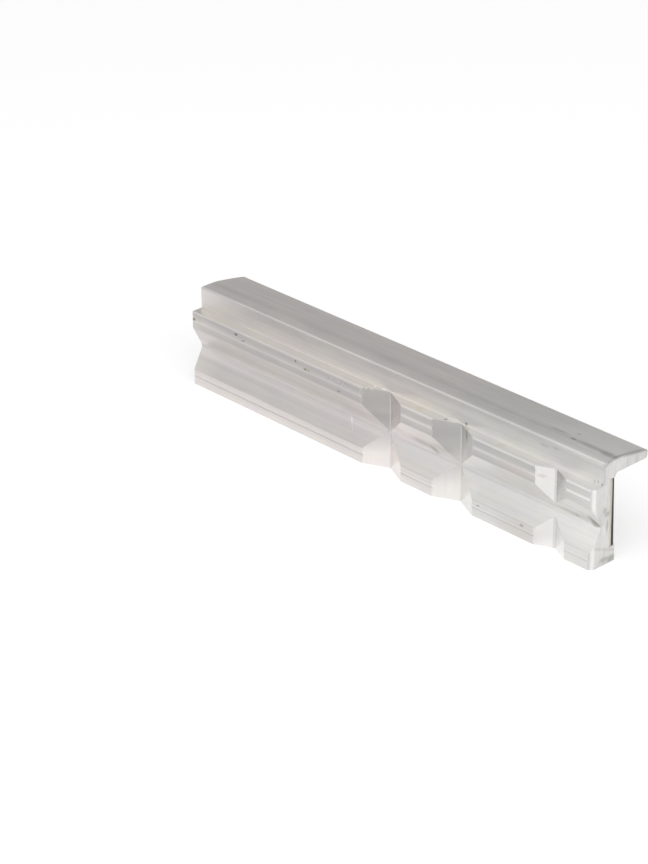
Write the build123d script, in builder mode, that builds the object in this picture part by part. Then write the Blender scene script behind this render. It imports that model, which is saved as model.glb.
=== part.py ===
from build123d import *
from math import atan2, cos, degrees, radians, sin, tan
import os

# Soft jaw for a bench vise
# A length of extruded aluminium that hooks over the top of the vise's own jaw with a flange,
# and is held to the face of that jaw by a strip of flexible rubber magnet in a long recess.
# The clamping face has one long vee groove for round bar held level, and three upright vee
# grooves, milled across it, for round bar held on end.
# X runs along the jaw, -Y is the clamping side, Z is up from the sole of the jaw.

# Extruded section, millimetres
length = 150.0
height = 28.8
overall_depth = 19.75
web_depth = 8.65

# The back leans a little: under the flange the web is thinner than at its foot
web_top_depth = 8.0

# Clamping side: land, ledge and the upper face that stands back from it
ledge_height = 22.5
upper_setback = 3.5
ledge_radius = 0.3
ledge_root_radius = 0.3
top_edge_radius = 0.5

# Long vee groove
vee_height = 11.0
vee_depth = 3.35
vee_half_width = 6.45
vee_lip_radius = 1.5
vee_root_radius = 2.0

# Flange: flat on top as far as the bend, then a slightly crowned slope down to the lip
bend_offset = 9.1
bend_radius = 12.0
lip_top_height = 27.05
crown_rise = 0.08
underside_height = 24.75
lip_top_radius = 0.6
lip_lower_radius = 0.8
flange_root_radius = 1.0

# Recess in the back for the tape and the magnet
recess_bottom = 4.45
recess_height = 19.2
recess_depth = 2.0
tape_thickness = 0.6
strip_thickness = 0.9
strip_height = 19.0
strip_edge_radius = 0.2

# Two shallow flutes and a die line drawn along the land: height of the middle, width, depth
flutes = ((18.6, 2.1, 0.08), (20.8, 1.9, 0.08))
die_lines = ((2.5, 0.4, 0.12),)

# Upright vee grooves: place along the jaw and depth
groove_angle = 130.0
upright_grooves = ((0.8, 3.4), (26.8, 3.4), (60.8, 2.45))
groove_root_radius = 0.25

# Flat bevel filed along the front corner of one sawn end: it fades out where the long vee begins
end_bevel = 1.0

# Cutters stand this far clear of what they cut
clearance = 1.0

os.makedirs("parts", exist_ok=True)

front = -overall_depth / 2
section = Plane(origin=(-length / 2, front, 0), x_dir=(0, 1, 0), z_dir=(1, 0, 0))
recess_floor = web_depth - recess_depth
recess_top = recess_bottom + recess_height
lean = atan2(web_depth - web_top_depth, recess_height)


def corner(sketch, y, z):
    """The vertex of a section sketch that lies nearest to a place on the section."""
    return sketch.vertices().sort_by_distance((y, z))[0]


def flute_radius(width, depth):
    """Radius of the round tool that leaves a flute of this width and depth."""
    return (width**2 / 4 + depth**2) / (2 * depth)


def on_recess_floor(offset):
    """Place on the section, this far out from the middle of the leaning floor of the recess."""
    middle = (recess_floor - (web_depth - web_top_depth) / 2, recess_bottom + recess_height / 2)
    return (middle[0] + offset * cos(lean), middle[1] + offset * sin(lean))


# Jaw body: the extrusion, its filed end, its flutes and its milled grooves
with BuildPart() as jaw_body:
    with BuildSketch(section) as profile:
        with BuildLine():
            Polyline(
                (web_depth, 0),
                (0, 0),
                (0, vee_height - vee_half_width),
                (vee_depth, vee_height),
                (0, vee_height + vee_half_width),
                (0, ledge_height),
                (upper_setback, ledge_height),
                (upper_setback, height),
                (bend_offset, height),
            )
            ThreePointArc(
                (bend_offset, height),
                ((bend_offset + overall_depth) / 2, (height + lip_top_height) / 2 + crown_rise),
                (overall_depth, lip_top_height),
            )
            Polyline(
                (overall_depth, lip_top_height),
                (overall_depth, underside_height),
                (web_top_depth, underside_height),
                (web_top_depth, recess_top),
                (web_top_depth - recess_depth, recess_top),
                (recess_floor, recess_bottom),
                (web_depth, recess_bottom),
                (web_depth, 0),
            )
        make_face()
        for lip in (vee_height - vee_half_width, vee_height + vee_half_width):
            fillet(corner(profile, 0, lip), vee_lip_radius)
        fillet(corner(profile, vee_depth, vee_height), vee_root_radius)
        fillet(corner(profile, upper_setback, ledge_height), ledge_root_radius)
        fillet(corner(profile, upper_setback, height), top_edge_radius)
        fillet(corner(profile, bend_offset, height), bend_radius)
        fillet(corner(profile, overall_depth, lip_top_height), lip_top_radius)
        fillet(corner(profile, overall_depth, underside_height), lip_lower_radius)
        fillet(corner(profile, web_top_depth, underside_height), flange_root_radius)
    extrude(amount=length)

    # The outer corner of the ledge
    land_edges = jaw_body.edges().filter_by(Axis.X).group_by(Axis.Y)[0]
    fillet(land_edges.sort_by(Axis.Z)[-1], ledge_radius)

    # Flutes and die line along the land
    for middle, width, depth in flutes + die_lines:
        radius = flute_radius(width, depth)
        with BuildSketch(section):
            with Locations((depth - radius, middle)):
                Circle(radius)
        extrude(amount=length, mode=Mode.SUBTRACT)

    # The filed bevel: one flat cut at 45 degrees
    with BuildSketch(Plane(origin=(length / 2, front, -clearance))):
        reach = end_bevel + clearance
        with BuildLine():
            Polyline((-reach, -clearance), (clearance, -clearance), (clearance, reach), close=True)
        make_face()
    extrude(amount=height, mode=Mode.SUBTRACT)

    # Upright grooves, milled from the ledge down through the sole
    for place, depth in upright_grooves:
        slope = tan(radians(groove_angle / 2))
        mouth = (depth + clearance) * slope
        with BuildSketch(Plane(origin=(place, front, -clearance))) as groove:
            with BuildLine():
                Polyline((-mouth, -clearance), (0, depth), (mouth, -clearance), close=True)
            make_face()
            fillet(corner(groove, 0, depth), groove_root_radius)
        extrude(amount=ledge_height + 2 * clearance, mode=Mode.SUBTRACT)

jaw_body.part.label = "jaw_body"
export_step(jaw_body.part, "parts/jaw_body.step")

# Adhesive tape: the thin layer that glues the magnet to the floor of the recess
with BuildPart() as adhesive_tape:
    with BuildSketch(section):
        with Locations(on_recess_floor(tape_thickness / 2)):
            Rectangle(tape_thickness, strip_height, rotation=degrees(lean))
    extrude(amount=length)

adhesive_tape.part.label = "adhesive_tape"
export_step(adhesive_tape.part, "parts/adhesive_tape.step")

# Magnet strip: flexible rubber magnet, its outer face just inside the back of the web
with BuildPart() as magnet_strip:
    with BuildSketch(section) as strip_section:
        with Locations(on_recess_floor(tape_thickness + strip_thickness / 2)):
            Rectangle(strip_thickness, strip_height, rotation=degrees(lean))
        fillet(strip_section.vertices().sort_by(Axis.X)[-2:], strip_edge_radius)
    extrude(amount=length)

magnet_strip.part.label = "magnet_strip"
export_step(magnet_strip.part, "parts/magnet_strip.step")
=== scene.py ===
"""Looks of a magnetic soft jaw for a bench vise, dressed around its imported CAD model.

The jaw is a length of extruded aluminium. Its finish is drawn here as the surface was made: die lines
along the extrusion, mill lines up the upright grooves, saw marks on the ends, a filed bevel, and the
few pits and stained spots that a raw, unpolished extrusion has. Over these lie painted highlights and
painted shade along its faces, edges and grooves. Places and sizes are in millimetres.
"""

import logging
import math
from dataclasses import dataclass
from enum import Enum
from functools import reduce
from typing import Any, Iterable, Sequence

import bpy
import numpy as np
from mathutils import Matrix, Vector

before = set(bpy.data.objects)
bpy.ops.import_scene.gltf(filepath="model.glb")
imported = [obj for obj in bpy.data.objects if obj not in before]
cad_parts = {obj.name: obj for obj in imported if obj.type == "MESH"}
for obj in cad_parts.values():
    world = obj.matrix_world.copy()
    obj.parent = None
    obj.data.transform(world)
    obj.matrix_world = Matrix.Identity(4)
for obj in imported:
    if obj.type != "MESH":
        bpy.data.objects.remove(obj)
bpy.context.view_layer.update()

log = logging.getLogger("vise_jaw")

MM = 0.001
IMAGE_SIZE = (648, 864)
WHITE = (1.0, 1.0, 1.0, 1.0)

# The sockets of a Mix node share their names, so they go by index: for numbers, and for colours
MIX_FACTOR = 0
NUMBER_A, NUMBER_B = 2, 3
COLOUR_A, COLOUR_B, COLOUR_OUT = 6, 7, 2

# Noise lies about its middle, and seldom further from it than its spread
NOISE_MIDDLE = 0.5
NOISE_SPREAD = 0.2

Socket = bpy.types.NodeSocket
Colour = tuple[float, float, float, float]
# A socket, or anything that a recipe can turn into one
Quantity = Any


def linear(code: str) -> Colour:
    """Turns an sRGB hex colour into Blender's linear colour.

    Args:
        code: Six hex digits, with or without a leading hash.

    Returns:
        Red, green, blue and an alpha of 1, all linear.
    """
    digits = code.lstrip("#")
    values = [int(digits[i:i + 2], 16) / 255 for i in (0, 2, 4)]
    curve = [v / 12.92 if v <= 0.04045 else ((v + 0.055) / 1.055) ** 2.4 for v in values]
    return (curve[0], curve[1], curve[2], 1.0)


def empty_material(name: str) -> bpy.types.Material:
    """Makes a material with an empty node tree.

    Args:
        name: Its name.

    Returns:
        The material.
    """
    material = bpy.data.materials.new(name)
    material.use_nodes = True
    material.node_tree.nodes.clear()
    return material


def add_node(
    tree: bpy.types.NodeTree,
    kind: str,
    inputs: dict | Sequence = (),
    output: int | str = 0,
    **settings: Any,
) -> Socket | None:
    """Adds one node to a tree, with its settings, values and links.

    Args:
        tree: The node tree.
        kind: The node's type name without its ShaderNode prefix.
        inputs: Values, or output sockets that feed them: in order, or by the name or index of the input.
        output: Name or index of the output to give back.
        settings: Properties of the node, by name.

    Returns:
        That output, or None where the node has none.
    """
    node = tree.nodes.new("ShaderNode" + kind)
    for name, value in settings.items():
        setattr(node, name, value)
    for name, value in inputs.items() if isinstance(inputs, dict) else enumerate(inputs):
        if isinstance(value, Socket):
            tree.links.new(value, node.inputs[name])
        else:
            node.inputs[name].default_value = value
    return node.outputs[output] if node.outputs else None


class Along(Enum):
    """What a finish is read along: a place in millimetres, or the way that the surface faces."""

    X = "along the jaw, towards its bevelled end"
    Y = "from the clamping side towards the back"
    Z = "up from the sole"
    FACING_X = "the normal's part along X"
    FACING_Y = "the normal's part along Y"
    FACING_Z = "the normal's part along Z"
    ENDWARD = "the normal's part along X, without its sign"


class Recipe:
    """Builds one material: holds its node tree, and each quantity that its finish reads, made once."""

    def __init__(self, name: str) -> None:
        """Starts an empty material.

        Args:
            name: Its name.
        """
        self.material = empty_material(name)
        coordinates = self.node("TexCoord").node.outputs
        inputs = {0: coordinates["Object"], "Scale": 1 / MM}
        self.place = self.node("VectorMath", inputs, operation="SCALE")
        place = self.node("SeparateXYZ", (self.place,)).node.outputs
        normal = self.node("SeparateXYZ", (coordinates["Normal"],)).node.outputs
        endward = self.node("Math", (normal[0],), operation="ABSOLUTE")
        self.known = dict(zip(Along, (*place, *normal, endward)))

    def node(self, kind: str, *inputs_and_output: Any, **settings: Any) -> Socket:
        """Adds one node to this material, as add_node does."""
        return add_node(self.material.node_tree, kind, *inputs_and_output, **settings)

    def read(self, source: Quantity) -> Socket:
        """Gives the socket of a quantity, which is made at its first use.

        Args:
            source: A socket, or anything with a make method.

        Returns:
            The socket of its value.
        """
        if isinstance(source, Socket):
            return source
        if source not in self.known:
            self.known[source] = source.make(self)
        return self.known[source]

    def product(self, factors: Iterable[Quantity]) -> Socket:
        """Multiplies any number of quantities."""
        sockets = [self.read(factor) for factor in factors]
        return reduce(lambda one, other: self.node("Math", (one, other), operation="MULTIPLY"), sockets)

    def total(self, shades: Iterable["Shade"]) -> Socket:
        """Adds up a group of shades, each of them its gain times all of its limits.

        Args:
            shades: The shades, at least one.

        Returns:
            The socket of their sum.
        """
        sum_so_far = 0.0
        for shade in shades:
            values = (self.product(shade.limits), shade.gain, sum_so_far)
            sum_so_far = self.node("Math", values, operation="MULTIPLY_ADD")
        return sum_so_far

    def shaded(self, shades: Iterable["Shade"], *where: Quantity) -> Socket:
        """Gives the multiplier of a group of shades: 1 plus their sum, within limits that they share."""
        return self.node("Math", (self.product((*where, self.total(shades))), 1.0), operation="ADD")

    def layered(self, colour: Colour | Socket, layers: Iterable[tuple], blend: str = "MIX") -> Socket:
        """Lays colours over a colour, each of them as far as its cover says.

        Args:
            colour: The colour underneath.
            layers: Pairs of a cover and an sRGB hex code, from the lowest up.
            blend: Blender's name for the way they blend, such as MIX or MULTIPLY.

        Returns:
            The socket of the colour on top.
        """
        for cover, code in layers:
            inputs = {MIX_FACTOR: self.read(cover), COLOUR_A: colour, COLOUR_B: linear(code)}
            colour = self.node("Mix", inputs, COLOUR_OUT, data_type="RGBA", blend_type=blend)
        return colour

    def finish(self, inputs: dict) -> bpy.types.Material:
        """Ends the material in a Principled surface.

        Args:
            inputs: Values or sockets of the Principled shader, by name.

        Returns:
            The material.
        """
        shader = self.node("BsdfPrincipled", inputs)
        self.node("OutputMaterial", {"Surface": shader})
        return self.material


@dataclass(frozen=True)
class Pattern:
    """Noise with a real pitch, the size of one patch along X, Y and Z.

    offset moves it, so that two patterns of one pitch differ, and rough is the weight of its finer octaves.
    """

    pitch: tuple[float, float, float]
    detail: float = 2.0
    offset: float = 0.0
    rough: float = 0.5

    def make(self, r: Recipe) -> Socket:
        """Adds the noise.

        Args:
            r: The recipe that reads it.

        Returns:
            The socket of a value about NOISE_MIDDLE.
        """
        scale = [1 / p for p in self.pitch]
        moved = r.node("Mapping", {"Vector": r.place, "Location": (self.offset,) * 3, "Scale": scale})
        inputs = {"Vector": moved, "Scale": 1.0, "Detail": self.detail, "Roughness": self.rough}
        return r.node("TexNoise", inputs, "Fac")


@dataclass(frozen=True)
class Ripple:
    """A pattern as a multiplier that wavers about 1, by about this amount either way."""

    pattern: Pattern
    amount: float

    def make(self, r: Recipe) -> Socket:
        """Works out 1 + amount * (noise - middle) / spread."""
        slope = self.amount / NOISE_SPREAD
        values = (r.read(self.pattern), slope, 1.0 - NOISE_MIDDLE * slope)
        return r.node("Math", values, operation="MULTIPLY_ADD")


@dataclass(frozen=True)
class Leaning:
    """A place read across a leaning line: one axis plus a share of another.

    bend is where the other axis begins to count, if the line is straight up to there.
    """

    along: Along
    other: Along
    share: float
    bend: float | None = None

    def make(self, r: Recipe) -> Socket:
        """Works out along + share * other, or along + share * max(other - bend, 0).

        Args:
            r: The recipe that reads it.

        Returns:
            The socket of the place.
        """
        run = r.read(self.other)
        if self.bend is not None:
            run = r.node("Math", (run, self.bend), operation="SUBTRACT")
            run = r.node("Math", (run, 0.0), operation="MAXIMUM")
        return r.node("Math", (run, self.share, r.read(self.along)), operation="MULTIPLY_ADD")


@dataclass(frozen=True)
class Step:
    """A smooth step of a quantity: start up to low, and end from high on."""

    of: Quantity
    low: float
    high: float
    start: float = 0.0
    end: float = 1.0

    def make(self, r: Recipe) -> Socket:
        """Adds the step.

        Args:
            r: The recipe that reads it.

        Returns:
            The socket of the result.
        """
        inputs = {"Value": r.read(self.of), "From Min": self.low, "From Max": self.high}
        inputs |= {"To Min": self.start, "To Max": self.end}
        return r.node("MapRange", inputs, interpolation_type="SMOOTHSTEP")


@dataclass(frozen=True)
class Band:
    """1 inside a band of a quantity about its middle and 0 outside, with soft edges."""

    of: Quantity
    middle: float
    half_width: float
    soft: float

    def make(self, r: Recipe) -> Socket:
        """Adds a step down of |value - middle|, soft to either side of the half width.

        Args:
            r: The recipe that reads it.

        Returns:
            The socket of the result.
        """
        off = r.node("Math", (r.read(self.of), self.middle), operation="SUBTRACT")
        off = r.node("Math", (off,), operation="ABSOLUTE")
        return r.read(Step(off, self.half_width - self.soft, self.half_width + self.soft, 1.0, 0.0))


@dataclass(frozen=True)
class Elsewhere:
    """What a few limits leave: 1 less the largest of them."""

    limits: tuple[Step | Band, ...]

    def make(self, r: Recipe) -> Socket:
        """Adds the nodes that find it.

        Args:
            r: The recipe that reads it.

        Returns:
            The socket of 1 where no limit holds, and 0 where one holds in full.
        """
        sockets = [r.read(limit) for limit in self.limits]
        most = reduce(lambda one, other: r.node("Math", (one, other), operation="MAXIMUM"), sockets)
        return r.node("Math", (1.0, most), operation="SUBTRACT")


class Cut(Enum):
    """How a surface of the jaw was made, told by how far it faces either end.

    The facets of the upright grooves turn 25 degrees away from the front, and the filed bevel 45.
    """

    MILLED = Band(Along.ENDWARD, 0.4226, 0.10, 0.04)
    FILED = Band(Along.ENDWARD, 0.7071, 0.10, 0.04)
    SAWN = Step(Along.ENDWARD, 0.85, 0.95)
    DRAWN = Elsewhere((MILLED, FILED, SAWN))

    def make(self, r: Recipe) -> Socket:
        """Gives 1 on the surfaces that were made this way, and 0 elsewhere."""
        return r.read(self.value)


@dataclass(frozen=True)
class Shade:
    """A place where the metal is a little brighter or duller than the rest.

    The share added to its colour is the gain times all the limits.
    """

    gain: float
    limits: tuple[Quantity, ...]


@dataclass(frozen=True)
class PaintedLightOrDieLine:
    """A line along the front, mostly painted highlight or painted shade, a few die lines: where, and how
    much brighter or darker.

    left, middle and end are the share added to the metal's colour left of the first upright groove, between
    the grooves, and right of the last one.
    """

    height: float
    half_width: float
    soft: float
    left: float
    middle: float
    end: float

    def make(self, r: Recipe) -> Socket:
        """Works out the band at its height, times its share at that place along the jaw.

        Args:
            r: The recipe that reads it.

        Returns:
            The socket of what it adds to the metal's colour.
        """
        values = (r.read(PAST_FIRST_GROOVE), self.middle - self.left, self.left)
        share = r.node("Math", values, operation="MULTIPLY_ADD")
        values = (r.read(PAST_LAST_GROOVE), self.end - self.middle, share)
        share = r.node("Math", values, operation="MULTIPLY_ADD")
        return r.product((Band(Along.Z, self.height, self.half_width, self.soft), share))


@dataclass(frozen=True)
class Mark:
    """One stain or pit, painted glint or patch of painted shade: an ellipsoid patch of another colour.

    reach is its half size along each axis, strength is its cover in the middle, and slant leans the patch
    along X as it goes up.
    """

    place: tuple[float, float, float]
    reach: tuple[float, float, float]
    colour: str
    strength: float
    slant: float = 0.0

    def make(self, r: Recipe) -> Socket:
        """Works out how far the mark covers each point, from the length of (point - place) / reach.

        Args:
            r: The recipe that reads it.

        Returns:
            The socket of its strength inside, which fades to 0 across its rim.
        """
        place = r.place
        if self.slant:
            values = (r.read(Along.Z), self.slant, -self.place[2] * self.slant)
            lean = r.node("Math", values, operation="MULTIPLY_ADD")
            shift = r.node("CombineXYZ", (lean,))
            place = r.node("VectorMath", (place, shift), operation="SUBTRACT")
        away = r.node("VectorMath", (place, self.place), operation="SUBTRACT")
        away = r.node("VectorMath", (away, self.reach), operation="DIVIDE")
        distance = r.node("VectorMath", (away,), "Value", operation="LENGTH")
        return r.read(Step(distance, *MARK_RIM, self.strength, 0.0))


# Where a mark's rim begins and ends, as a share of its reach
MARK_RIM = (0.35, 1.25)
MARKS = (
    # Pits along the drawn flutes
    Mark((-74.4, -9.8, 20.2), (0.7, 2.0, 0.5), "#6F6C50", 0.8),
    Mark((-56.7, -9.8, 21.3), (0.7, 2.0, 0.42), "#5E5751", 0.85),
    Mark((-53.7, -9.8, 20.3), (0.9, 2.0, 0.3), "#857C76", 0.5, 0.8),
    Mark((-32.4, -9.8, 21.4), (0.4, 2.0, 0.38), "#6B635E", 0.8),
    Mark((-28.6, -9.8, 20.2), (0.65, 2.0, 0.42), "#6B6540", 0.55),
    Mark((-27.5, -9.8, 20.2), (1.1, 2.0, 0.5), "#C2BC88", 0.35),
    Mark((-15.5, -9.8, 18.2), (0.7, 2.0, 0.32), "#8C837D", 0.5),
    # Stains on the ledge, and where the upright grooves meet it
    Mark((28.4, -6.4, 23.05), (0.5, 1.0, 0.5), "#857F77", 0.75),
    Mark((13.2, -7.9, 22.5), (1.6, 1.2, 0.5), "#CFC68E", 0.20),
    Mark((42.2, -8.0, 22.5), (1.6, 1.2, 0.5), "#CCC696", 0.26),
    Mark((22.2, -7.6, 22.5), (0.5, 0.6, 0.5), "#8D887C", 0.7),
    Mark((63.5, -8.7, 22.0), (2.6, 1.9, 1.3), "#7C7B64", 0.11),
    Mark((30.1, -8.0, 20.9), (0.7, 1.6, 2.0), "#96927C", 0.5),
    # Stains in the long vee
    Mark((17.9, -7.4, 12.1), (1.5, 2.0, 1.35), "#918B86", 0.42, -0.7),
    Mark((13.8, -7.6, 12.7), (4.5, 2.0, 1.1), "#A9A29D", 0.35, -0.4),
    Mark((73.3, -7.3, 12.45), (1.3, 2.5, 1.25), "#A3A199", 0.9, -0.5),
    Mark((73.4, -6.8, 11.5), (1.3, 2.0, 0.7), "#A9A79F", 0.7),
    Mark((74.4, -6.95, 11.9), (0.7, 2.0, 0.6), "#A5A39B", 0.7),
    Mark((72.2, -7.8, 13.45), (0.9, 2.0, 0.6), "#ACAAA2", 0.6),
    Mark((65.0, -7.2, 12.2), (5.0, 2.0, 0.6), "#A8A79D", 0.34),
    Mark((70.3, -7.5, 12.9), (2.4, 2.0, 0.7), "#A8A79D", 0.2, -1.0),
    Mark((67.6, -7.1, 12.0), (0.7, 1.0, 0.45), "#84837A", 0.42),
    # Smears on the sawn end, and painted shade on the corner above the ledge
    Mark((75.0, -5.3, 15.5), (0.5, 0.8, 1.0), "#9F9E97", 0.45),
    Mark((75.0, -4.4, 14.2), (0.5, 1.3, 0.8), "#9F9E97", 0.5),
    Mark((75.0, -4.3, 10.9), (0.5, 0.5, 2.0), "#A6A59E", 0.5),
    Mark((75.0, -2.3, 0.9), (0.5, 1.7, 1.2), "#8B8A83", 0.55),
    Mark((75.0, -5.1, 1.6), (0.5, 1.9, 0.8), "#A3A29B", 0.55),
    Mark((74.6, -6.4, 22.9), (0.3, 0.4, 0.5), "#8A8982", 0.8),
    Mark((73.3, -6.4, 23.2), (0.2, 0.4, 0.5), "#9B9A93", 0.7),
    Mark((72.2, -6.4, 23.0), (0.2, 0.4, 0.6), "#A19F98", 0.7),
    # Bruises along the bend on top
    Mark((60.7, -1.6, 28.8), (1.1, 0.42, 1.0), "#7F7F7D", 0.6),
    Mark((55.0, -0.6, 28.8), (3.5, 0.7, 1.0), "#8A8A87", 0.3),
    Mark((66.5, -1.5, 28.8), (6.0, 0.9, 1.0), "#8A8A87", 0.3),
    Mark((72.5, -1.8, 28.8), (3.0, 1.3, 1.0), "#858582", 0.4),
    Mark((59.5, 1.9, 28.6), (0.6, 0.5, 1.0), "#8C8C8A", 0.4),
    # Spots on the land and the flanks, and on the upper face
    Mark((36.3, -9.9, 3.6), (0.55, 1.0, 0.35), "#A08F88", 0.7),
    Mark((51.5, -9.9, 3.85), (0.75, 1.0, 0.38), "#8B8680", 0.8),
    Mark((50.5, -9.9, 2.0), (9.0, 1.5, 3.5), "#B9B3AD", 0.3),
    Mark((49.0, -8.6, 15.5), (9.0, 2.5, 3.5), "#B9B3AD", 0.15),
    Mark((57.2, -9.1, 19.9), (1.7, 1.0, 0.6), "#C2B6B0", 0.4),
    Mark((58.6, -8.8, 4.0), (3.6, 2.0, 6.0), "#C9C8C4", 0.12),
    Mark((55.3, -6.4, 26.7), (1.8, 1.0, 0.4), "#A8A3A1", 0.3),
    Mark((59.3, -6.4, 27.3), (1.2, 1.0, 0.3), "#A8A3A1", 0.3),
    # Faint tints: painted shade on the upper flank, which faces down, cooler on the lower one, warmer on
    # the land and on top
    Mark((21.0, -8.0, 14.0), (4.5, 2.0, 1.6), "#B9B3AD", 0.30),
    Mark((4.5, -7.9, 13.6), (3.5, 2.0, 1.6), "#B9B3AD", 0.20),
    Mark((-72.5, -9.8, 20.8), (2.2, 2.0, 1.2), "#C9C0AC", 0.30),
    Mark((13.0, -7.7, 8.8), (10.0, 2.0, 2.4), "#E8EBE9", 0.4),
    Mark((33.2, -8.4, 7.2), (2.4, 2.0, 2.4), "#FFFFFF", 0.25),
    Mark((48.5, -9.8, 19.0), (8.0, 1.5, 2.4), "#EAE0DC", 0.45),
    Mark((-50.0, 7.0, 27.6), (8.0, 3.0, 1.5), "#E9DFDD", 0.45),
    Mark((-21.0, -7.8, 8.6), (8.0, 2.0, 2.4), "#E6E0E3", 0.4),
    # Painted glints: on a scratch on the lower flank, and on the burr that the milling left on the ledge
    Mark((-13.3, -7.2, 9.8), (0.42, 2.0, 1.0), "#FFFFFF", 0.95, -0.66),
    Mark((-12.3, -7.9, 8.3), (0.25, 2.0, 1.1), "#FFFFFF", 0.4, -0.66),
    Mark((-4.5, -7.1, 22.5), (0.35, 0.55, 0.4), "#FFFFFF", 0.95, 0.3),
    Mark((-4.0, -8.7, 22.5), (0.5, 0.35, 0.4), "#FFFFFF", 0.9),
    Mark((-5.4, -9.4, 22.4), (0.7, 0.3, 0.4), "#FFFFFF", 0.7),
    Mark((-1.5, -6.65, 22.5), (0.9, 0.25, 0.3), "#FFFFFF", 0.7),
    Mark((24.6, -7.3, 22.5), (1.2, 0.3, 0.3), "#FFFFFF", 0.6),
)

# Limits that several lines and shades share
PAST_FIRST_GROOVE = Step(Along.X, -12.0, 8.0)
PAST_LAST_GROOVE = Step(Along.X, 56.0, 66.0)
FORWARD = Step(Along.FACING_Y, -0.45, -0.25, 1.0, 0.0)
UPWARD = Step(Along.FACING_Z, 0.80, 0.95)
LEFT_FACETS = Step(Along.FACING_X, 0.3, 0.4)
RIGHT_FACETS = Step(Along.FACING_X, -0.4, -0.3, 1.0, 0.0)
TOP_EDGE = (Step(Along.Z, 28.25, 28.45), Step(Along.Y, -5.9, -5.35, 1.0, 0.0))

PAINTED_LIGHT_AND_DIE_LINES = (
    # Painted light on the upper face, and painted shade in the corner where it meets the ledge
    PaintedLightOrDieLine(26.0, 1.7, 0.7, 0.05, 0.04, -0.04),
    PaintedLightOrDieLine(22.78, 0.14, 0.10, -0.13, -0.05, -0.06),
    # Painted highlights on the outer corner of the ledge and on the crest between the two flutes, painted
    # shade in the flutes
    PaintedLightOrDieLine(22.25, 0.20, 0.12, 0.09, 0.12, 0.12),
    PaintedLightOrDieLine(21.3, 0.50, 0.35, -0.09, -0.09, -0.16),
    PaintedLightOrDieLine(20.4, 0.25, 0.15, 0.03, 0.03, -0.10),
    PaintedLightOrDieLine(19.75, 0.32, 0.25, 0.13, 0.23, 0.17),
    PaintedLightOrDieLine(18.6, 0.75, 0.30, -0.05, 0.01, -0.12),
    # The long vee, in painted highlights and painted shade: its upper lip and flank, the crease, its lower
    # flank and lip
    PaintedLightOrDieLine(17.3, 0.35, 0.30, -0.08, -0.10, -0.16),
    PaintedLightOrDieLine(14.2, 3.0, 0.60, -0.14, 0.0, -0.02),
    PaintedLightOrDieLine(12.5, 0.50, 0.40, 0.06, 0.0, 0.0),
    PaintedLightOrDieLine(11.5, 0.35, 0.30, 0.0, -0.05, -0.11),
    PaintedLightOrDieLine(10.55, 0.32, 0.42, 0.07, 0.25, 0.18),
    PaintedLightOrDieLine(9.7, 1.0, 0.50, 0.06, -0.02, 0.03),
    PaintedLightOrDieLine(7.7, 2.6, 0.60, 0.02, 0.08, 0.09),
    PaintedLightOrDieLine(4.95, 0.60, 0.40, 0.06, 0.10, -0.03),
    # Painted shade on the land under the long vee, a die line, and the ridge beside it, brightened by a
    # painted highlight
    PaintedLightOrDieLine(1.9, 2.3, 0.30, -0.07, -0.07, -0.08),
    PaintedLightOrDieLine(3.6, 0.25, 0.15, 0.0, -0.04, -0.02),
    PaintedLightOrDieLine(3.0, 0.16, 0.12, 0.05, 0.12, 0.06),
    PaintedLightOrDieLine(2.5, 0.20, 0.10, -0.06, -0.04, -0.06),
)

# On the drawn front: painted highlights and painted shade, a few die lines and some pits
FRONT_SHADES = (
    *(Shade(1.0, (line,)) for line in PAINTED_LIGHT_AND_DIE_LINES),
    # Painted shade on the corner of the ledge at the plain end
    Shade(-0.13, (Step(Along.X, -64.0, -50.0, 1.0, 0.0), Step(Along.Z, 21.3, 21.8))),
    # At that end painted light brightens the upper face, and painted shade darkens the lower flank of the
    # long vee
    Shade(0.095, (Step(Along.X, -61.0, -53.0, 1.0, 0.0), Step(Along.Z, 22.6, 22.9))),
    Shade(1.0, (Step(Along.X, -74.0, -52.0, -0.11, -0.03), Band(Along.Z, 7.8, 3.2, 0.6))),
    # A stretch of the upper flute is pitted all over, with painted glints between the pits
    Shade(1.0, (
        Band(Along.X, -12.5, 7.0, 5.0),
        Band(Along.Z, 20.9, 0.6, 0.4),
        Step(Pattern((0.7, 0.5, 0.28), offset=53.0, rough=0.6), 0.38, 0.62, -0.17, 0.12),
    )),
)

# On the top and the upper face: a dark line, painted shade and a cloudy patch
TOP_AND_FACE_SHADES = (
    # The top is darker in a line along the bend, which drifts a little and comes and goes
    Shade(-0.14, (
        Band(Leaning(Along.Y, Along.X, -0.004), -2.0, 1.0, 1.2),
        Step(Along.Z, 28.4, 28.7),
        Step(Pattern((18.0, 900.0, 900.0), offset=31.0), 0.3, 0.6, 0.3, 1.0),
        Step(Along.X, -80.0, 40.0, 0.75, 1.0),
    )),
    # Painted shade darkens the top in a narrow line along its bevelled end
    Shade(-0.27, (
        Step(Along.FACING_Z, 0.90, 0.95),
        Step(Along.X, 73.9, 74.5),
        Step(Along.Y, -4.5, -1.5),
        Step(Along.Z, 27.0, 27.4),
    )),
    # The upper face is cloudy and darker under its top edge
    Shade(-0.10, (
        Band(Along.Y, -6.4, 0.2, 0.05),
        Step(Along.Z, 25.6, 27.4),
        Step(Along.X, -64.0, -52.0),
        Step(Pattern((16.0, 4.0, 2.4), detail=3.0, offset=17.0), 0.3, 0.6, 0.3, 1.0),
    )),
)

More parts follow.
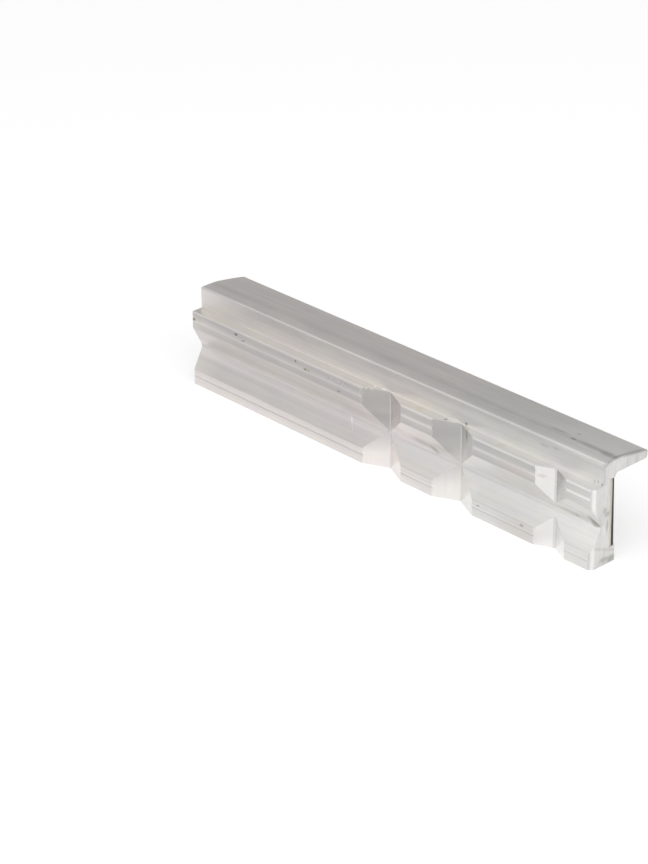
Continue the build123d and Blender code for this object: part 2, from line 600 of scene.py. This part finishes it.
# On the sawn ends
END_SHADES = (
    # Blotches, a dark line that leans above the foot, and a dull foot
    Shade(1.0, (
        Step(Pattern((1.2, 1.2, 2.6), detail=4.0, offset=41.0, rough=0.6), 0.3, 0.7, -0.06, 0.05),
    )),
    Shade(-0.13, (Band(Leaning(Along.Z, Along.Y, 0.394), 2.45, 0.40, 0.35),)),
    Shade(-0.10, (Step(Along.Z, 0.0, 4.0, 1.0, 0.0),)),
    # The flange and the middle of the web are a little darker, and a painted highlight brightens the front
    # edge
    Shade(-0.09, (Step(Along.Y, -1.0, 5.0),)),
    Shade(-0.04, (Band(Along.Z, 15.5, 4.0, 2.0),)),
    Shade(0.12, (Step(Along.Y, -8.9, -8.3, 1.0, 0.0),)),
    # Painted shade on the upper front corner, which stands in for its rounding
    Shade(-0.12, (Step(Along.Y, -5.8, -5.2, 1.0, 0.0), Step(Along.Z, 22.4, 22.8))),
    Shade(-0.18, (Step(Along.Y, -5.0, -2.8, 1.0, 0.0), Step(Along.Z, 27.2, 28.2))),
    # Painted shade too on the edge under the top, which slopes down behind the bend
    Shade(-0.30, (
        Step(Leaning(Along.Z, Along.Y, 0.1643, bend=-0.78), 28.15, 28.6),
        Step(Along.Y, -5.4, -4.6),
    )),
)

# Painted light and shade: upward faces, the facets of the upright grooves, and the top's front edge
PAINTED_LIGHT_SHADES = (
    # Painted light brightens upward faces towards both ends
    Shade(0.14, (UPWARD, Step(Along.X, 40.0, 74.0))),
    Shade(0.11, (UPWARD, Step(Along.X, -76.0, -62.0, 1.0, 0.0), Step(Along.Z, 22.8, 23.5, 1.0, 0.0))),
    # Painted shade on the right-hand facets, most of all above the long vee and at their outer edge
    Shade(1.0, (
        Cut.MILLED,
        RIGHT_FACETS,
        Step(Along.X, 40.0, 50.0, 1.0, 0.2),
        Step(Along.Z, 8.0, 12.0, -0.02, -0.08),
    )),
    Shade(1.0, (
        Cut.MILLED,
        RIGHT_FACETS,
        Step(Along.Z, 10.0, 12.0),
        Step(Along.Y, -9.2, -7.4, -0.12, 0.05),
    )),
    # Painted shade on the tip of the first groove's left facet, and painted light on the foot of the
    # shallow groove
    Shade(-0.14, (Cut.MILLED, LEFT_FACETS, Band(Along.X, -1.6, 2.6, 0.6), Band(Along.Z, 13.6, 2.2, 1.2))),
    Shade(0.08, (Cut.MILLED, Step(Along.X, 50.0, 54.0), Step(Along.Z, 0.5, 4.0, 1.0, 0.0))),
    # Painted shade makes the root of the shallow groove a dark line, not a bright one
    Shade(-0.17, (Cut.MILLED, Band(Along.X, 60.56, 0.26, 0.14))),
    # Painted shade below and a painted highlight above on the rounded front edge of the top, brighter
    # towards the bevelled end
    Shade(1.0, (*TOP_EDGE, Step(Along.Y, -6.3, -6.05, -0.20, 0.18))),
    Shade(0.08, (*TOP_EDGE, Step(Along.X, 45.0, 66.0))),
)


@dataclass(frozen=True)
class ExtrudedAluminium:
    """Raw extruded aluminium, not polished and not anodised.

    The die leaves fine lines along the whole length, so the eye sees satin streaks on every drawn face.
    The upright grooves are milled and the ends sawn, so there the lines run up and down. One half is
    warmer than the other, as a handled bar is.
    """

    name: str = "extruded_aluminium"
    # Warm towards the plain end and cool towards the bevelled one, with the turn between them
    warm: str = "#E9E4E0"
    cool: str = "#E4E3DF"
    turn: Step = Step(Along.X, 8.0, 34.0)
    # Die lines: broad streaks and fine ones, both far longer than they are wide, under a slight cloud
    broad_lines: Ripple = Ripple(Pattern((150.0, 1.1, 1.1)), 0.035)
    fine_lines: Ripple = Ripple(Pattern((90.0, 0.28, 0.28), offset=7.0), 0.03)
    cloud: Ripple = Ripple(Pattern((13.0, 4.0, 3.0), detail=3.0, offset=3.0), 0.02)
    # Mill lines and saw lines: both run up the face
    mill_lines: Ripple = Ripple(Pattern((0.28, 0.28, 60.0), offset=11.0), 0.025)
    saw_lines: Ripple = Ripple(Pattern((0.9, 0.6, 14.0), detail=3.0, offset=5.0), 0.05)
    milled_gain: float = 1.03
    sawn_gain: float = 0.92
    # Painted light on the filed bevel: it brightens outwards, as a rounded bevel would, and a little more
    # towards its top
    filed: tuple[Step, Step] = (
        Step(Along.X, 74.0, 74.65, 0.78, 1.10),
        Step(Along.Z, 16.5, 18.5, 1.0, 1.06),
    )
    # A slight wandering of hue
    hue: Step = Step(Pattern((9.0, 5.0, 4.0), detail=1.0, offset=23.0), 0.35, 0.65, 0.0, 0.5)
    hue_tint: str = "#FAF9FF"
    # The ledge mirrors the warm face above it, so its colour is painted a little greener to offset that
    # reflection
    ledge: tuple[Quantity, ...] = (
        UPWARD,
        Step(Along.Z, 24.0, 25.0, 1.0, 0.0),
        Cut.DRAWN,
        Step(Along.X, 20.0, 40.0, 1.0, 0.0),
    )
    ledge_tint: str = "#FCFFFC"
    # Painted highlight: a bright line at the root of two upright grooves, fainter below the long vee
    highlit_roots: tuple[float, ...] = (0.88, 26.88)
    root_half_width: float = 0.22
    root_soft: float = 0.09
    root_highlight_strength: float = 0.5
    root_heights: tuple[Step, Step] = (
        Step(Along.Z, 21.3, 22.3, 1.0, 0.0),
        Step(Along.Z, 10.0, 12.5, 0.15, 1.0),
    )
    root_highlight_colour: str = "#FFFAF3"
    root_roughening: float = 0.2
    roughness: float = 0.42
    roughness_spread: float = 0.04
    milled_roughness: float = 0.27
    bump_strength: float = 0.3
    bump_depth: float = 0.01

    def build(self) -> bpy.types.Material:
        """Makes the material.

        Returns:
            The finished material.
        """
        r = Recipe(self.name)
        # Marks and the painted highlights at the groove roots are laid over the colour
        lines = self.root_highlights(r)
        layers = [(mark, mark.colour) for mark in MARKS]
        colour = r.layered(self.colour(r), (*layers, (lines, self.root_highlight_colour)))
        inputs = {"Base Color": colour, "Metallic": 1.0, "Roughness": self.rough(r, lines)}
        return r.finish(inputs | {"Normal": self.bump(r)})

    def colour(self, r: Recipe) -> Socket:
        """Works out the clean metal's colour, without its marks.

        Args:
            r: The material's recipe.

        Returns:
            The socket of the colour.
        """
        colour = r.layered(linear(self.warm), ((self.turn, self.cool),))
        colour = r.node("VectorMath", {0: colour, "Scale": self.tone(r)}, operation="SCALE")
        tints = ((self.hue, self.hue_tint), (r.product(self.ledge), self.ledge_tint))
        return r.layered(colour, tints, "MULTIPLY")

    def tone(self, r: Recipe) -> Socket:
        """Works out how bright the metal is at each point: its grain, how it was made, its stains and
        painted light.

        Args:
            r: The material's recipe.

        Returns:
            The socket of a multiplier about 1.
        """
        milled, filed, sawn, drawn = (r.read(cut) for cut in Cut)
        along = r.product((self.broad_lines, self.fine_lines, self.cloud))
        inputs = {MIX_FACTOR: drawn, NUMBER_A: r.read(self.mill_lines), NUMBER_B: along}
        grain = r.node("Mix", inputs, data_type="FLOAT")
        inputs = {MIX_FACTOR: sawn, NUMBER_A: grain, NUMBER_B: r.read(self.saw_lines)}
        grain = r.node("Mix", inputs, data_type="FLOAT")
        gain = r.node("Math", (milled, self.milled_gain - 1, 1.0), operation="MULTIPLY_ADD")
        inputs = {MIX_FACTOR: filed, NUMBER_A: gain, NUMBER_B: r.product(self.filed)}
        gain = r.node("Mix", inputs, data_type="FLOAT")
        gain = r.node("Math", (sawn, self.sawn_gain - 1, gain), operation="MULTIPLY_ADD")
        top_and_face = r.shaded(TOP_AND_FACE_SHADES)
        ends = r.shaded(END_SHADES, Cut.SAWN)
        front = r.shaded(FRONT_SHADES, Cut.DRAWN, FORWARD)
        painted_light = r.shaded(PAINTED_LIGHT_SHADES)
        return r.product((grain, gain, ends, top_and_face, front, painted_light))

    def root_highlights(self, r: Recipe) -> Socket:
        """Works out where painted highlights brighten the roots of the upright grooves.

        Args:
            r: The material's recipe.

        Returns:
            The socket of how far the painted highlights cover each point.
        """
        bands = [Band(Along.X, place, self.root_half_width, self.root_soft) for place in self.highlit_roots]
        return r.total(Shade(self.root_highlight_strength, (band, *self.root_heights)) for band in bands)

    def rough(self, r: Recipe, lines: Socket) -> Socket:
        """Works out the roughness, which the fine die lines vary a little.

        Args:
            r: The material's recipe.
            lines: How far the painted highlights at the groove roots cover each point.

        Returns:
            The socket of the roughness.
        """
        low, high = NOISE_MIDDLE - NOISE_SPREAD, NOISE_MIDDLE + NOISE_SPREAD
        ends = (self.roughness - self.roughness_spread, self.roughness + self.roughness_spread)
        rough = r.read(Step(self.fine_lines.pattern, low, high, *ends))
        inputs = {MIX_FACTOR: r.read(Cut.MILLED), NUMBER_A: rough, NUMBER_B: self.milled_roughness}
        rough = r.node("Mix", inputs, data_type="FLOAT")
        return r.node("Math", (lines, self.root_roughening, rough), operation="MULTIPLY_ADD")

    def bump(self, r: Recipe) -> Socket:
        """Works out the relief: fine die lines on the drawn faces, and mill lines on the rest.

        Args:
            r: The material's recipe.

        Returns:
            The socket of the normal.
        """
        mill, fine = r.read(self.mill_lines.pattern), r.read(self.fine_lines.pattern)
        inputs = {MIX_FACTOR: r.read(Cut.DRAWN), NUMBER_A: mill, NUMBER_B: fine}
        height = r.node("Mix", inputs, data_type="FLOAT")
        inputs = {"Height": height, "Strength": self.bump_strength, "Distance": self.bump_depth * MM}
        return r.node("Bump", inputs)


@dataclass(frozen=True)
class MagnetRubber:
    """Flexible rubber magnet: ferrite powder in synthetic rubber, matt and brownish black.

    The eye sees faint rolling lines along the strip, grey scuffs where it has touched the vise, a fine
    grain, and cut ends that are darker than the faces.
    """

    name: str = "magnet_rubber"
    face: str = "#5E5556"
    cut: str = "#2F2A29"
    scuff: str = "#7B7373"
    glue: str = "#CFC8BC"
    grain: Pattern = Pattern((0.12, 0.12, 0.12), offset=3.0)
    # Brightness: rolling lines along the strip, and its grain
    tones: tuple[Step, Step] = (
        Step(Pattern((60.0, 0.5, 0.5)), 0.3, 0.7, 0.93, 1.02),
        Step(grain, 0.3, 0.7, -0.06, 0.06),
    )
    # Scuffs, which the grain breaks up
    scuffs: tuple[Step, Step] = (
        Step(Pattern((7.0, 3.0, 1.6), detail=5.0, offset=9.0, rough=0.6), 0.52, 0.74, 0.0, 0.7),
        Step(grain, 0.35, 0.6),
    )
    full_scuff: float = 0.6
    ends: Step = Step(Along.ENDWARD, 0.6, 0.9)
    # Glue from the tape is smeared over the cut ends, further across the leaning strip towards the flange
    across: Leaning = Leaning(Along.Y, Along.Z, 0.0338)
    smear: Step = Step(Along.Z, 4.0, 24.0, -2.50, -2.12)
    smear_rim: float = 0.05
    roughness: tuple[float, float] = (0.52, 0.68)
    bump_strength: float = 0.4
    bump_depth: float = 0.02

    def build(self) -> bpy.types.Material:
        """Makes the material.

        Returns:
            The finished material.
        """
        r = Recipe(self.name)
        scuffed = r.product(self.scuffs)
        tone = r.node("Math", [r.read(part) for part in self.tones], operation="ADD")
        past = r.node("Math", (r.read(self.across), r.read(self.smear)), operation="SUBTRACT")
        glued = r.product((self.ends, Step(past, -self.smear_rim, self.smear_rim, 1.0, 0.0)))
        layers = ((scuffed, self.scuff), (self.ends, self.cut), (glued, self.glue))
        colour = r.layered(linear(self.face), layers)
        colour = r.node("VectorMath", {0: colour, "Scale": tone}, operation="SCALE")
        height = {"Height": r.read(self.grain), "Strength": self.bump_strength}
        bump = r.node("Bump", height | {"Distance": self.bump_depth * MM})
        rough = r.read(Step(scuffed, 0.0, self.full_scuff, *self.roughness))
        return r.finish({"Base Color": colour, "Roughness": rough, "Normal": bump})


@dataclass(frozen=True)
class FoamTape:
    """Double-sided foam tape: pale cream closed-cell foam.

    The eye sees fine open cells on its cut edge, and a yellower tint where the glue soaks in.
    """

    name: str = "foam_tape"
    foam: str = "#E9E4DA"
    glue: str = "#D8CDB4"
    cells: Pattern = Pattern((0.16, 0.16, 0.16))
    tone: Step = Step(cells, 0.3, 0.6, 0.86, 1.0)
    soaked: Step = Step(Pattern((6.0, 0.4, 3.0), offset=5.0), 0.45, 0.7, 0.0, 0.8)
    roughness: float = 0.85
    bump_strength: float = 0.5
    bump_depth: float = 0.03

    def build(self) -> bpy.types.Material:
        """Makes the material.

        Returns:
            The finished material.
        """
        r = Recipe(self.name)
        colour = r.layered(linear(self.foam), ((self.soaked, self.glue),))
        colour = r.node("VectorMath", {0: colour, "Scale": r.read(self.tone)}, operation="SCALE")
        height = {"Height": r.read(self.cells), "Strength": self.bump_strength}
        bump = r.node("Bump", height | {"Distance": self.bump_depth * MM})
        return r.finish({"Base Color": colour, "Roughness": self.roughness, "Normal": bump})


def dress(node: str, material: bpy.types.Material) -> None:
    """Gives a CAD node its material in every slot.

    Args:
        node: The node's name.
        material: The material.
    """
    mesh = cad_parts[node].data
    mesh.materials.clear()
    mesh.materials.append(material)


def direction(azimuth: float, elevation: float) -> Vector:
    """Unit vector from the jaw towards a place around it.

    Args:
        azimuth: Radians round from the clamping side, towards the bevelled end.
        elevation: Radians above the floor.

    Returns:
        (sin az cos el, -cos az cos el, sin el).
    """
    level = math.cos(elevation)
    return Vector((math.sin(azimuth) * level, -math.cos(azimuth) * level, math.sin(elevation)))


@dataclass(frozen=True)
class Card:
    """A plain card that glows only in the metal's reflections: a grid of points, and its grey glow at each
    of them.
    """

    name: str
    rows: tuple[tuple[tuple[float, float, float], ...], ...]
    levels: tuple[tuple[float, ...], ...]

    def build(self) -> None:
        """Makes the card as a sheet that glows at each point's level, which neither the camera nor the
        lamps notice.

        The sheet is the straight patch between each four neighbours of the grid.
        """
        places = np.array(self.rows, dtype=float) * MM
        index = np.arange(places.shape[0] * places.shape[1]).reshape(places.shape[:2])
        faces = np.stack((index[:-1, :-1], index[:-1, 1:], index[1:, 1:], index[1:, :-1]), axis=-1)
        mesh = bpy.data.meshes.new(self.name)
        mesh.from_pydata(places.reshape(-1, 3).tolist(), [], faces.reshape(-1, 4).tolist())
        mesh.attributes.new("level", "FLOAT", "POINT").data.foreach_set("value", np.ravel(self.levels))
        material = empty_material(self.name)
        tree = material.node_tree
        level = add_node(tree, "Attribute", output="Fac", attribute_name="level")
        glow = add_node(tree, "Emission", {"Color": WHITE, "Strength": level})
        add_node(tree, "OutputMaterial", {"Surface": glow})
        mesh.materials.append(material)
        card = bpy.data.objects.new(self.name, mesh)
        card.visible_camera = False
        card.visible_diffuse = False
        card.visible_shadow = False
        bpy.context.scene.collection.objects.link(card)


@dataclass(frozen=True)
class Lamp:
    """One square area lamp that looks at the jaw.

    Azimuth and elevation are in degrees, measured as direction does. Reach and size are in metres, and
    power is in watts.
    """

    name: str
    azimuth: float
    elevation: float
    reach: float
    size: float
    power: float

    def build(self) -> None:
        """Makes the lamp."""
        back = direction(math.radians(self.azimuth), math.radians(self.elevation))
        data = bpy.data.lights.new(self.name, "AREA")
        data.shape = "SQUARE"
        data.size = self.size
        data.energy = self.power
        lamp = bpy.data.objects.new(self.name, data)
        lamp.location = back * self.reach
        lamp.rotation_mode = "QUATERNION"
        lamp.rotation_quaternion = (-back).to_track_quat("-Z", "Y")
        bpy.context.scene.collection.objects.link(lamp)


LAMPS = (
    Lamp("overhead_softbox", 30.0, 60.0, reach=2.2, size=2.0, power=18.0),
    Lamp("right_softbox", 75.0, 35.0, reach=1.2, size=0.8, power=2.5),
)

LOW_CARD_COLUMNS = (-100, -28, -14, 20, 50)
LOW_CARD_ROWS = ((-16, 0.3), (-22, 0.4), (-29, 1.5), (-38, 6), (-38, 14), (-38, 28))
FRONT_CARD_FOOT = ((0, -1500), (513, -1410), (964, -1149), (1410, -513), (1494, 131))
CARDS = (
    # It lies on the floor in front of the jaw and turns up, and the lower half of the front mirrors it
    Card(
        "low_grey_card",
        tuple(tuple((x, y, z) for x in LOW_CARD_COLUMNS) for y, z in LOW_CARD_ROWS),
        (
            (0.84, 0.84, 1.00, 1.00, 1.00),
            (0.70, 0.70, 0.83, 0.83, 0.86),
            (0.62, 0.62, 0.63, 0.63, 0.72),
            (0.48, 0.46, 0.39, 0.39, 0.42),
            (0.45, 0.58, 0.68, 0.80, 1.00),
            (0.46, 0.76, 0.88, 1.00, 1.20),
        ),
    ),
    # It curves round behind the camera, and only the top of the flange mirrors it, seen from behind
    Card(
        "front_grey_card",
        tuple(tuple((x, y, z) for x, y in FRONT_CARD_FOOT) for z in (100, 1000)),
        ((1.0, 0.65, 0.45, 0.40, 0.60), (1.0, 0.65, 0.45, 0.40, 0.60)),
    ),
    # It stands behind the jaw, seen from the camera
    Card(
        "rear_grey_card",
        (((-700, -100, 0), (0, 700, 0)), ((-700, -100, 700), (0, 700, 700))),
        ((0.40, 0.40), (0.40, 0.40)),
    ),
    # It hangs level, above and behind the jaw, and is darker towards the back
    Card(
        "overhead_grey_card",
        (((-1000, -450, 500), (-150, -450, 500)), ((-1000, 700, 500), (-150, 700, 500))),
        ((0.8, 0.8), (0.5, 0.5)),
    ),
)


@dataclass(frozen=True)
class Studio:
    """Camera, lamps, cards, world and floor.

    Angles are in degrees, and the clip range and the floor's half width are in metres.
    """

    azimuth: float = 47.15
    elevation: float = 26.80
    roll: float = -0.667
    distance: float = 706.4
    aim: tuple[float, float, float] = (-5.33, -24.76, 15.0)
    focal_pixels: float = 2705.7
    sensor: float = 36.0
    clip: tuple[float, float] = (0.05, 20.0)
    world_level: float = 0.55
    floor_half: float = 2.0
    floor_colour: str = "#D2D2D2"
    floor_glow: float = 0.46

    def camera(self) -> None:
        """Sets the camera at the photograph's viewing angle."""
        azimuth, elevation, roll = (math.radians(v) for v in (self.azimuth, self.elevation, self.roll))
        back = direction(azimuth, elevation)
        level = Vector((math.cos(azimuth), math.sin(azimuth), 0.0))
        up = back.cross(level)
        right = level * math.cos(roll) + up * math.sin(roll)
        upright = up * math.cos(roll) - level * math.sin(roll)
        data = bpy.data.cameras.new("camera")
        data.sensor_width = self.sensor
        data.lens = self.focal_pixels * self.sensor / max(IMAGE_SIZE)
        data.clip_start, data.clip_end = self.clip
        camera = bpy.data.objects.new("camera", data)
        turn = Matrix((right, upright, back)).transposed().to_4x4()
        camera.matrix_world = Matrix.Translation((Vector(self.aim) + back * self.distance) * MM) @ turn
        bpy.context.scene.collection.objects.link(camera)
        bpy.context.scene.camera = camera

    @staticmethod
    def shows(tree: bpy.types.NodeTree) -> Socket:
        """Tells the rays that see the white background, by camera, gloss or glass, from light that falls.

        Args:
            tree: The node tree of the world or of the floor.

        Returns:
            The socket of 1 for those rays, and 0 for the others.
        """
        path = add_node(tree, "LightPath").node.outputs
        rays = [path[name] for name in ("Is Camera Ray", "Is Glossy Ray", "Is Transmission Ray")]
        return reduce(lambda one, other: add_node(tree, "Math", (one, other), operation="MAXIMUM"), rays)

    def world(self) -> None:
        """Makes a plain grey surround that shows white behind the object."""
        world = bpy.data.worlds.new("surround")
        world.use_nodes = True
        bpy.context.scene.world = world
        tree = world.node_tree
        tree.nodes.clear()
        inputs = {"Value": self.shows(tree), "To Min": self.world_level, "To Max": 1.0}
        level = add_node(tree, "MapRange", inputs)
        glow = add_node(tree, "Background", {"Color": WHITE, "Strength": level})
        add_node(tree, "OutputWorld", {"Surface": glow})

    def floor(self) -> None:
        """Makes a white floor that keeps the object's soft shadow."""
        half = self.floor_half
        corners = [(-half, -half, 0), (half, -half, 0), (half, half, 0), (-half, half, 0)]
        mesh = bpy.data.meshes.new("floor")
        mesh.from_pydata(corners, [], [(0, 1, 2, 3)])
        floor = bpy.data.objects.new("floor", mesh)
        bpy.context.scene.collection.objects.link(floor)
        material = empty_material("floor_paper")
        tree = material.node_tree
        paper = add_node(tree, "BsdfDiffuse", {"Color": linear(self.floor_colour)})
        strength = add_node(tree, "Math", (self.shows(tree), self.floor_glow), operation="MULTIPLY")
        glow = add_node(tree, "Emission", {"Color": WHITE, "Strength": strength})
        both = add_node(tree, "AddShader", (paper, glow))
        add_node(tree, "OutputMaterial", {"Surface": both})
        mesh.materials.append(material)

    def build(self) -> None:
        """Makes the whole studio."""
        self.camera()
        self.world()
        self.floor()
        for item in (*CARDS, *LAMPS):
            item.build()
            log.info("studio: %s", item.name)
        bpy.context.scene.view_settings.view_transform = "Standard"


def main() -> None:
    """Builds the studio and the finishes, in order."""
    logging.basicConfig(level=logging.INFO)
    Studio().build()
    pieces = {"jaw_body": ExtrudedAluminium(), "magnet_strip": MagnetRubber(), "adhesive_tape": FoamTape()}
    for node, finish in pieces.items():
        dress(node, finish.build())
        log.info("%s: %s", node, finish.name)


if __name__ == "__main__":
    main()
